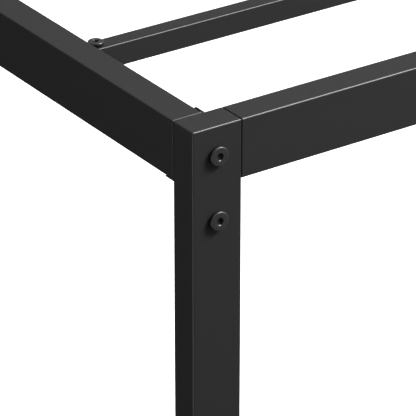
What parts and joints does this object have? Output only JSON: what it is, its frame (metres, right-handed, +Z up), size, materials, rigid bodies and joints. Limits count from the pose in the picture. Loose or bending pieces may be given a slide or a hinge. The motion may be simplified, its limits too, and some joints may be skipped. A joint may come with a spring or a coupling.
{
  "type": "bed frame",
  "caption": "Low metal platform bed frame of black box-section steel: rails bolted to corner legs, thin cross slats and a centre beam on its own legs.",
  "frame": {"origin": "on the floor, under the middle of the bed", "axes": "+X across the bed towards the right side seen from the foot end, +Y along the bed towards the head end, +Z up"},
  "size_m": [1.524, 2.0406, 0.356],
  "materials": {
    "powder_coated_steel": "satin black powder coat",
    "black_screws": "black-oxide screw steel, satin",
    "foot_plastic": "matte black moulded plastic"
  },
  "bodies": {
    "root": {"bracket_foot_left": "powder_coated_steel", "bracket_foot_right": "powder_coated_steel", "bracket_head_left": "powder_coated_steel", "bracket_head_right": "powder_coated_steel", "centre_beam": "powder_coated_steel", "centre_cap_foot": "foot_plastic", "centre_cap_head": "foot_plastic", "centre_leg_foot": "powder_coated_steel", "centre_leg_head": "powder_coated_steel", "corner_bolt_foot_left_lower": "black_screws", "corner_bolt_foot_left_upper": "black_screws", "corner_bolt_foot_right_lower": "black_screws", "corner_bolt_foot_right_upper": "black_screws", "corner_bolt_head_left_lower": "black_screws", "corner_bolt_head_left_upper": "black_screws", "corner_bolt_head_right_lower": "black_screws", "corner_bolt_head_right_upper": "black_screws", "end_rail_foot": "powder_coated_steel", "end_rail_head": "powder_coated_steel", "foot_cap_foot_left": "foot_plastic", "foot_cap_foot_right": "foot_plastic", "foot_cap_head_left": "foot_plastic", "foot_cap_head_right": "foot_plastic", "leg_foot_left": "powder_coated_steel", "leg_foot_right": "powder_coated_steel", "leg_head_left": "powder_coated_steel", "leg_head_right": "powder_coated_steel", "rail_bolt_foot_left": "black_screws", "rail_bolt_foot_right": "black_screws", "rail_bolt_head_left": "black_screws", "rail_bolt_head_right": "black_screws", "side_rail_left": "powder_coated_steel", "side_rail_right": "powder_coated_steel", "slat_1": "powder_coated_steel", "slat_2": "powder_coated_steel", "slat_3": "powder_coated_steel", "slat_4": "powder_coated_steel", "slat_5": "powder_coated_steel", "slat_6": "powder_coated_steel", "slat_7": "powder_coated_steel", "slat_8": "powder_coated_steel", "slat_9": "powder_coated_steel", "slat_bolt_1_left": "black_screws", "slat_bolt_1_right": "black_screws", "slat_bolt_2_left": "black_screws", "slat_bolt_2_right": "black_screws", "slat_bolt_3_left": "black_screws", "slat_bolt_3_right": "black_screws", "slat_bolt_4_left": "black_screws", "slat_bolt_4_right": "black_screws", "slat_bolt_5_left": "black_screws", "slat_bolt_5_right": "black_screws", "slat_bolt_6_left": "black_screws", "slat_bolt_6_right": "black_screws", "slat_bolt_7_left": "black_screws", "slat_bolt_7_right": "black_screws", "slat_bolt_8_left": "black_screws", "slat_bolt_8_right": "black_screws", "slat_bolt_9_left": "black_screws", "slat_bolt_9_right": "black_screws"}
  },
  "joints": []
}
